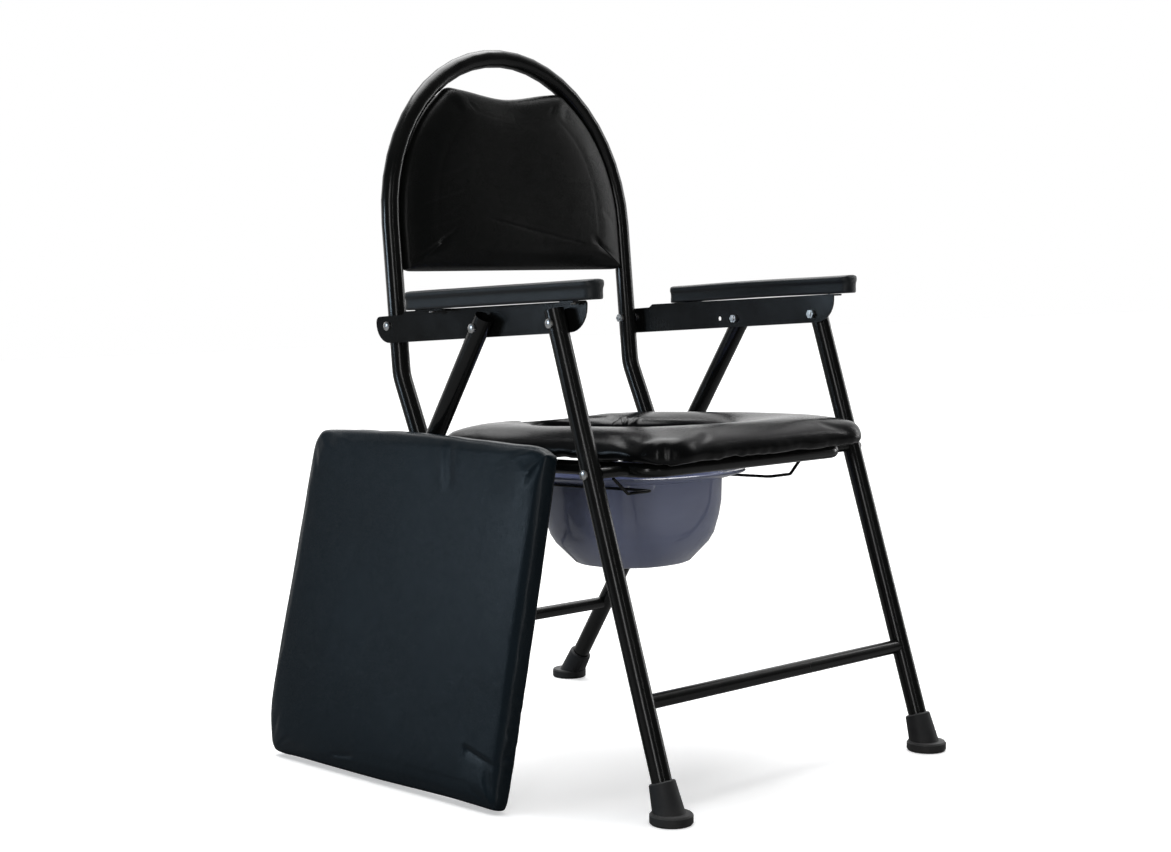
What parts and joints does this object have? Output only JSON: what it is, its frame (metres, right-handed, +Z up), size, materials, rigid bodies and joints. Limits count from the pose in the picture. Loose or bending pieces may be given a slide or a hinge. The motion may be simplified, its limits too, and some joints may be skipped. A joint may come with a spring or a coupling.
{
  "type": "folding commode chair",
  "caption": "Folding steel commode chair with padded keyhole seat, padded back, arm rests, slide-out pan and a loose cover pad.",
  "frame": {"origin": "on the floor, under the middle of the chair and its cover pad together", "axes": "+Z up, -Y the front of the chair, +X the right-hand side seen from the front; the chair's own middle plane is at x = 0.0511"},
  "size_m": [0.6304, 0.7014, 0.9038],
  "materials": {
    "black_steel": "gloss black powder coat",
    "zinc_steel": "bright zinc plating",
    "rubber_foot": "matt grey-black",
    "arm_foam": "matt moulded skin foam",
    "black_vinyl": "satin grained vinyl over foam",
    "board": "black painted board",
    "pan_plastic": "satin blue-grey polypropylene",
    "navy_vinyl": "satin grained vinyl over foam"
  },
  "bodies": {
    "front_legs": {"front_leg_left": "black_steel", "front_leg_right": "black_steel", "front_brace": "black_steel", "front_foot_left": "rubber_foot", "front_foot_right": "rubber_foot"},
    "arms": {"arm_plate_left": "black_steel", "arm_plate_right": "black_steel", "arm_pad_left": "arm_foam", "arm_pad_right": "arm_foam", "arm_pad_screw_front_left": "zinc_steel", "arm_pad_screw_front_right": "zinc_steel", "arm_pad_screw_rear_left": "zinc_steel", "arm_pad_screw_rear_right": "zinc_steel", "front_leg_bolt_left": "zinc_steel", "front_leg_bolt_right": "zinc_steel", "front_leg_nut_left": "zinc_steel", "front_leg_nut_right": "zinc_steel", "rear_leg_bolt_left": "zinc_steel", "rear_leg_bolt_right": "zinc_steel", "rear_leg_nut_left": "zinc_steel", "rear_leg_nut_right": "zinc_steel", "back_bolt_left": "zinc_steel", "back_bolt_right": "zinc_steel", "back_nut_left": "zinc_steel", "back_nut_right": "zinc_steel", "back_spacer_left": "zinc_steel", "back_spacer_right": "zinc_steel"},
    "back": {"back_frame": "black_steel", "backrest_board": "board", "backrest_pad": "black_vinyl", "back_strap_lower": "black_steel", "back_strap_upper": "black_steel"},
    "rear_legs": {"rear_leg_left": "black_steel", "rear_leg_right": "black_steel", "rear_brace": "black_steel", "rear_foot_left": "rubber_foot", "rear_foot_right": "rubber_foot", "slot_pin_left": "zinc_steel", "slot_pin_right": "zinc_steel"},
    "seat": {"seat_frame": "black_steel", "seat_cross_tube": "black_steel", "seat_board": "board", "seat_cushion": "black_vinyl", "pan_rail_left": "black_steel", "pan_rail_right": "black_steel", "slot_bracket_left": "black_steel", "slot_bracket_right": "black_steel", "seat_front_pin_left": "zinc_steel", "seat_front_pin_right": "zinc_steel", "seat_front_spacer_left": "black_steel", "seat_front_spacer_right": "black_steel", "seat_rear_pin_left": "zinc_steel", "seat_rear_pin_right": "zinc_steel", "seat_rear_spacer_left": "black_steel", "seat_rear_spacer_right": "black_steel"},
    "pan": {"pan": "pan_plastic"},
    "cover": {"cover_cushion": "navy_vinyl"}
  },
  "joints": [
    {"name": "fold", "type": "hinge", "parent": "front_legs", "child": "arms", "pos_m": [0.0511, -0.1455, 0.552], "axis": [-1, 0, 0], "range_deg": [0, 70]},
    {"name": "seat_swing", "type": "hinge", "parent": "front_legs", "child": "seat", "pos_m": [0.0511, -0.20132, 0.381], "axis": [-1, 0, 0], "range_deg": [0, 70]},
    {"name": "back_swing", "type": "hinge", "parent": "arms", "child": "back", "pos_m": [0.0511, 0.1765, 0.5405], "axis": [1, 0, 0], "range_deg": [0, 70]},
    {"name": "rear_leg_swing", "type": "hinge", "parent": "arms", "child": "rear_legs", "pos_m": [0.0511, -0.012, 0.543], "axis": [1, 0, 0], "range_deg": [0, 24.5]},
    {"name": "pan_slide", "type": "slide", "parent": "seat", "child": "pan", "axis": [0, -0.9994, 0.0357], "range_m": [0, 0.2]},
    {"name": "cover_slide", "type": "slide", "parent": "front_legs", "child": "cover", "axis": [-1, 0, 0], "range_m": [0, 0.3]}
  ],
  "couplings": [
    {"joint": "seat_swing", "follows": "fold", "ratio": 1},
    {"joint": "back_swing", "follows": "fold", "ratio": 1},
    {"joint": "rear_leg_swing", "follows": "fold", "ratio": 0.35}
  ]
}
